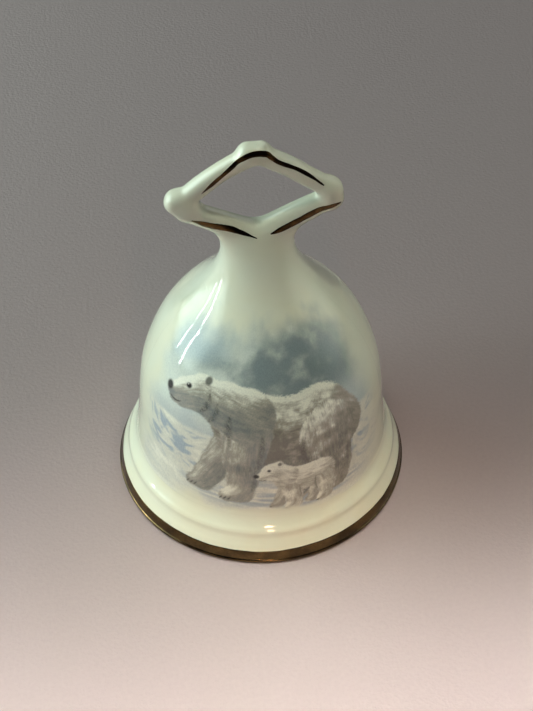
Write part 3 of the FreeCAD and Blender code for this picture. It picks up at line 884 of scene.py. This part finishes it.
class Handle:
    """The loop handle as a field that is negative inside."""

    def __init__(self, outer):
        self.limbs = [smooth_curve(limb, ARM_SPACING) for limb in ARMS.values()]
        self.section = stem_section(outer)

    def stem_field(self, x, y, z):
        heights, widths, depths = self.section.T
        width, depth = np.interp(z, heights, widths), np.interp(z, heights, depths)
        reach = np.sqrt((x / width) ** 2 + (y / depth) ** 2)
        side = (reach - 1) * np.minimum(width, depth)
        top = STEM_TOP + STEM_RISE * (np.hypot(x, STEM_ROUND) - STEM_ROUND)
        return -smooth_min(-side, top - z, STEM_ROUND)

    def field(self, points):
        x, y, z = points[..., 0], points[..., 1], points[..., 2] - NECK
        field = None
        for limb in self.limbs:
            part = limb_field(x, y, z, limb)
            field = part if field is None else smooth_min(field, part, ARM_BLEND)
        for limb in KNOBS:
            field = smooth_min(field, limb_field(x, y, z, limb), KNOB_BLEND)
        return smooth_min(field, self.stem_field(x, y, z), STEM_BLEND)

    def slope(self, points, step=0.02):
        """The field's gradient, from differences over a step each way."""
        rises = [self.field(points + shift) - self.field(points - shift) for shift in np.eye(3) * step]
        return np.stack(rises, axis=-1) / (2 * step)

    def surface(self, points, rounds=5):
        """Points moved on to the surface, and the outward direction there."""
        for _ in range(rounds):
            slope = self.slope(points)
            points = points - (self.field(points) / np.maximum((slope ** 2).sum(-1), 1e-6))[..., None] * slope
        slope = self.slope(points)
        return points, slope / np.linalg.norm(slope, axis=-1, keepdims=True)

    def met(self, x, height, side):
        """The first points of the handle on lines along Y, from the front (side -1) or the back (side 1)."""
        points = np.stack(np.broadcast_arrays(x[:, None], side * SIGHT, height[:, None] + NECK), axis=-1)
        field = self.field(points)
        inside = field < 0
        first = np.where(inside.any(axis=1), inside.argmax(axis=1), field.argmin(axis=1))
        return points[np.arange(len(x)), first]

    def mesh(self):
        low = np.array(VOXELS_FROM)
        counts = ((np.array(VOXELS_TO) - low) / VOXEL).astype(int)
        axes = [low[k] + VOXEL * np.arange(counts[k]) for k in range(3)]
        field = self.field(np.stack(np.meshgrid(*axes, indexing="ij"), axis=-1))
        grid = openvdb.FloatGrid(OUTSIDE)
        grid.copyFromArray(np.ascontiguousarray(field, np.float32))
        points, triangles, quads = grid.convertToPolygons(isovalue=0.0, adaptivity=0.0)
        vertices = points.astype(float) * VOXEL + low
        proud = vertices[:, 2] > low[2] + 2 * VOXEL
        vertices[proud], _ = self.surface(vertices[proud], 2)
        faces = [f[::-1] for f in quads.tolist()] + [f[::-1] for f in triangles.tolist()]
        return mesh_piece("handle", leaning(vertices), faces)


# Brushed gold lines: x and height over the neck of a line's middle, seen from the front, and half its width.
GILDING = {
    "arch": [
        (-13.6, 18.3, 0.14), (-11.4, 20.4, 0.50), (-6.5, 25.1, 0.64), (-3.6, 28.0, 0.72), (-1.8, 28.9, 0.86),
        (2.2, 28.8, 0.88), (3.3, 27.7, 0.76), (4.7, 26.3, 0.62), (9.5, 23.6, 0.54), (12.8, 21.1, 0.54),
        (16.1, 18.1, 0.14),
    ],
    "left": [
        (-16.3, 10.7, 0.16), (-14.4, 9.4, 0.78), (-12.1, 8.4, 1.05), (-6.9, 7.0, 0.95), (-4.2, 5.8, 0.70),
        (-0.4, 4.1, 0.16),
    ],
    "right": [
        (20.5, 12.7, 0.16), (19.0, 12.4, 0.60), (16.2, 11.3, 0.85), (9.7, 7.8, 1.10), (7.0, 6.5, 1.00),
        (4.7, 5.5, 0.75), (3.0, 4.9, 0.16),
    ],
}
GOLD_FILM, GOLD_SUNK = 0.035, 0.012  # how far a line's middle rises over its edges, and how deep those sink
GOLD_DEPTH = 0.12  # how deep its underside lies in the handle
GOLD_COLUMNS = 11
GOLD_ROWS = 0.22  # mm between rows
GOLD_SHAKE, SHAKE_ROWS = 0.09, 8  # how far the edges of a line wander, mm, and the rows from turn to turn


def gilding(handle, line, front, random):
    """One brush stroke on the handle, thin at its edges, with a slightly unsteady width."""
    path = smooth_curve(line, GOLD_ROWS)
    rows = len(path)
    middle, normal = handle.surface(handle.met(path[:, 0], path[:, 1], -1.0 if front else 1.0))
    across = np.cross(np.gradient(middle, axis=0), normal)
    across /= np.linalg.norm(across, axis=1)[:, None]
    knots = np.arange(0, rows + SHAKE_ROWS, SHAKE_ROWS)
    shake = np.interp(np.arange(rows), knots, random.uniform(-GOLD_SHAKE, GOLD_SHAKE, len(knots)))
    spread = np.linspace(-1, 1, GOLD_COLUMNS)
    wide = (path[:, 2:3] + shake[:, None] * np.abs(spread)) * spread
    points, normals = handle.surface(middle[:, None] + across[:, None] * wide[..., None])
    rise = GOLD_FILM * (1 - spread ** 4) - GOLD_SUNK
    top = points + normals * rise[None, :, None]
    under = points - normals * GOLD_DEPTH
    faces = grid_faces(rows, GOLD_COLUMNS)
    count = rows * GOLD_COLUMNS
    grid = np.arange(count).reshape(rows, GOLD_COLUMNS)
    edge = [*grid[:, 0], *grid[-1, 1:], *grid[-2::-1, -1], *grid[0, -2:0:-1]]
    walls = [(a, b, b + count, a + count) for a, b in zip(edge, edge[1:] + edge[:1])]
    vertices = np.vstack([top.reshape(-1, 3), under.reshape(-1, 3)])
    return vertices, [tuple(f) for f in faces] + [tuple(f[::-1] + count) for f in faces] + walls


# ---- studio

VIEW_TURN = math.radians(-6.46)
VIEW_TILT = math.radians(44.106)
VIEW_PLACE = (-0.02828, -0.26371, 0.31270)
VIEW_LENS, VIEW_SENSOR = 70.89, 36.0  # mm
FLOOR = 1500  # mm from the middle of the floor to its edge
MIDDLE = (0, 0, 0.05)  # the middle of the bell, which the large lights face
BEAM_HEIGHT = 0.9  # of the lights over the floor, m
DIM = (0.015, 0.015, 0.015, 1)  # the room


def make_camera():
    data = bpy.data.cameras.new("view")
    data.lens = VIEW_LENS
    data.sensor_width = VIEW_SENSOR
    camera = bpy.data.objects.new("view", data)
    camera.location = VIEW_PLACE
    camera.rotation_euler = (VIEW_TILT, 0, VIEW_TURN)
    bpy.context.scene.collection.objects.link(camera)
    bpy.context.scene.camera = camera


def soften_edges(data, core):
    """Make an area light fade out from core, a share of its half size, to its edges, like a soft box."""
    data.use_nodes = True
    nodes = Nodes(data.node_tree)
    place = nodes.add("NewGeometry", "Parametric")
    fades = []
    for axis in ("X", "Y"):
        side = nodes.add("SeparateXYZ", axis, [("Vector", place)])
        away = nodes.maths("ABSOLUTE", nodes.maths("SUBTRACT", side, 0.5))
        fades.append(nodes.between(away, core / 2, 0.5, 1.0, 0.0))
    nodes.join(nodes.maths("MULTIPLY", *fades), nodes.tree.nodes["Emission"].inputs["Strength"])


def area_light(name, place, target, size, power, colour, spread=180, core=None):
    """A rectangular light: metres, watts, and how many degrees wide its beam spreads."""
    data = bpy.data.lights.new(name, "AREA")
    data.shape = "RECTANGLE"
    data.size, data.size_y = size
    data.energy = power
    data.color = colour
    data.spread = math.radians(spread)
    if core is not None:
        soften_edges(data, core)
    light = bpy.data.objects.new(name, data)
    light.location = place
    light.rotation_euler = (Vector(target) - Vector(place)).to_track_quat("-Z", "Y").to_euler()
    bpy.context.scene.collection.objects.link(light)


def make_floor():
    corners = [(-FLOOR, -FLOOR, 0), (FLOOR, -FLOOR, 0), (FLOOR, FLOOR, 0), (-FLOOR, FLOOR, 0)]
    floor = mesh_piece("floor", corners, [(0, 1, 2, 3)])
    shader = Shader("floor", Roughness=0.75)
    fine = shader.noise(900.0, 3.0)
    shader.set("Base Color", shader.mix(fine, (0.415, 0.325, 0.33, 1), (0.47, 0.368, 0.374, 1)))
    shader.bump(fine, 0.0002)
    floor.data.materials.append(shader.material)


def compass(turn, rise, distance):
    """A place turn degrees to the right of the front, rise degrees up, and so far from the bell's middle."""
    turn, rise = math.radians(turn), math.radians(rise)
    way = Vector((math.sin(turn) * math.cos(rise), -math.cos(turn) * math.cos(rise), math.sin(rise)))
    return Vector(MIDDLE) + way * distance


def floor_beam(name, x, y, size, power, colour, spread):
    """A light high over a place on the floor that shines straight down on it."""
    area_light(name, (x, y, BEAM_HEIGHT), (x, y, 0), size, power, colour, spread)


def make_studio():
    world = bpy.data.worlds.new("world")
    bpy.context.scene.world = world
    world.use_nodes = True
    world.node_tree.nodes["Background"].inputs["Color"].default_value = DIM
    area_light("key", compass(-104, 24, 0.85), MIDDLE, (1.3, 0.9), 14.0, (0.78, 1.0, 0.93), core=0.5)
    area_light("window_near", compass(-91, 11.5, 0.6), MIDDLE, (0.018, 0.26), 0.34, (0.95, 1.0, 1.0))
    area_light("window_far", compass(-102, 10, 0.6), MIDDLE, (0.009, 0.17), 0.11, (0.95, 1.0, 1.0))
    area_light("fill", compass(84, 26, 0.85), MIDDLE, (0.95, 0.7), 2.3, (0.95, 1.0, 0.82), core=0.3)
    area_light("fill_low", compass(92, 9, 0.85), MIDDLE, (1.1, 0.25), 0.8, (0.85, 1.0, 0.85), core=0.2)
    area_light("right_back", compass(140, 30, 0.85), MIDDLE, (0.8, 0.7), 1.6, (0.95, 0.96, 1.0), core=0.1)
    area_light("low_beam", (0, -0.85, 0.22), (0, -0.06, 0.0), (0.30, 0.03), 0.016, (1.0, 0.62, 0.36), 7)
    floor_beam("floor_front", 0, -0.105, (0.10, 0.10), 0.088, (0.97, 1.0, 0.84), 17)
    floor_beam("floor_edge", 0, -0.105, (0.20, 0.03), 0.022, (1.0, 0.98, 0.95), 8)
    floor_beam("floor_left", -0.17, -0.09, (0.10, 0.10), 0.11, (0.95, 0.96, 0.88), 13)
    floor_beam("floor_right", 0.17, -0.12, (0.10, 0.10), 0.19, (0.95, 0.97, 0.9), 13)
    bpy.context.scene.view_settings.view_transform = "Standard"


# ---- assembly


def main():
    china, brass, plaster, bead = bone_china(), brass_wire(), cement(), bead_glaze()
    # The gold of the rim and of the lines is darkened as a painted dark reflection.
    rim_gold = fired_gold("rim_gold", *RIM_SHADED_TONES, (1, 1, 8))
    line_gold = fired_gold("line_gold", *LINE_SHADED_TONES, (1, 6, 6))
    outer = outer_profile()
    finish_piece(shell(outer), china, "bell_shell")
    finish_piece(picture(outer), enamel_print(), "picture_transfer")
    finish_piece(rim_band(outer), rim_gold, "rim_gilt")
    handle = Handle(outer)
    finish_piece(handle.mesh(), china, "loop_handle")
    random = np.random.default_rng(3)
    for name, line in GILDING.items():
        for side in ("front", "back"):
            vertices, faces = gilding(handle, line, side == "front", random)
            piece = mesh_piece(f"gold_{name}_{side}", leaning(vertices), faces)
            recalculate(piece)
            finish_piece(piece, line_gold, f"gilt_{name}_{side}")
    materials = {"crown_plug": plaster, "clapper_bead": bead}
    for node in ("crown_eye", "hanger_link", "clapper_wire", "crimp_collar"):
        materials[node] = brass
    for node, material in materials.items():
        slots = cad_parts[node].data.materials
        slots.clear()
        slots.append(material)
    make_floor()
    make_studio()
    make_camera()


main()
